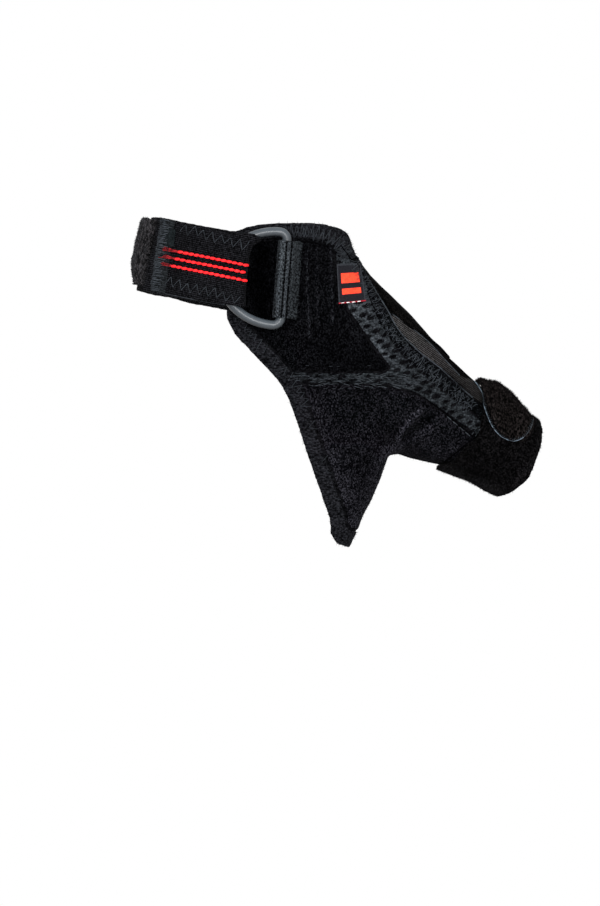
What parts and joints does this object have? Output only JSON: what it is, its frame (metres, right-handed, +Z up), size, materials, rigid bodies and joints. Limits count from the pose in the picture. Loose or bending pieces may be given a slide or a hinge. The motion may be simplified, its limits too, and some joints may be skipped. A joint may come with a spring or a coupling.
{
  "type": "thumb splint",
  "caption": "Soft thumb splint in its worn shape: a cloth wrap with a tongue over the hand, a cuffed thumb sleeve, and a wrist strap folded through a ring",
  "frame": {"origin": "middle of the hollow that the wrist fills, level with the ring", "axes": "+Z up toward the forearm, the fingers point to -Z, +X toward the thumb, -Y out of the back of the hand, +Y out of the palm"},
  "size_m": [0.1353, 0.0645, 0.1068],
  "materials": {
    "hand_shell": "matte foam cloth",
    "wrist_patch": "loop velour",
    "hand_patch": "loop velour",
    "mesh_panel": "spacer mesh",
    "seam_tape": "knit tape with zigzag stitching",
    "stay_pocket": "ribbed tape",
    "side_panel": "loop velour",
    "edge_binding": "stitched knit edge",
    "label": "woven label with two plain stripes",
    "thumb_cuff": "loop velour",
    "thumb_tab": "loop velour with an overlocked edge",
    "wrist_strap": "woven elastic",
    "strap_end_tab": "loop velour",
    "d_ring": "satin grey",
    "ring_webbing": "woven webbing"
  },
  "bodies": {
    "root": {"hand_shell": "hand_shell", "wrist_patch": "wrist_patch", "hand_patch": "hand_patch", "mesh_panel": "mesh_panel", "seam_tape": "seam_tape", "stay_pocket": "stay_pocket", "side_panel": "side_panel", "edge_binding": "edge_binding", "label": "label", "thumb_cuff": "thumb_cuff", "thumb_tab": "thumb_tab", "wrist_strap": "wrist_strap", "strap_end_tab": "strap_end_tab", "d_ring": "d_ring", "ring_webbing": "ring_webbing"}
  },
  "joints": []
}
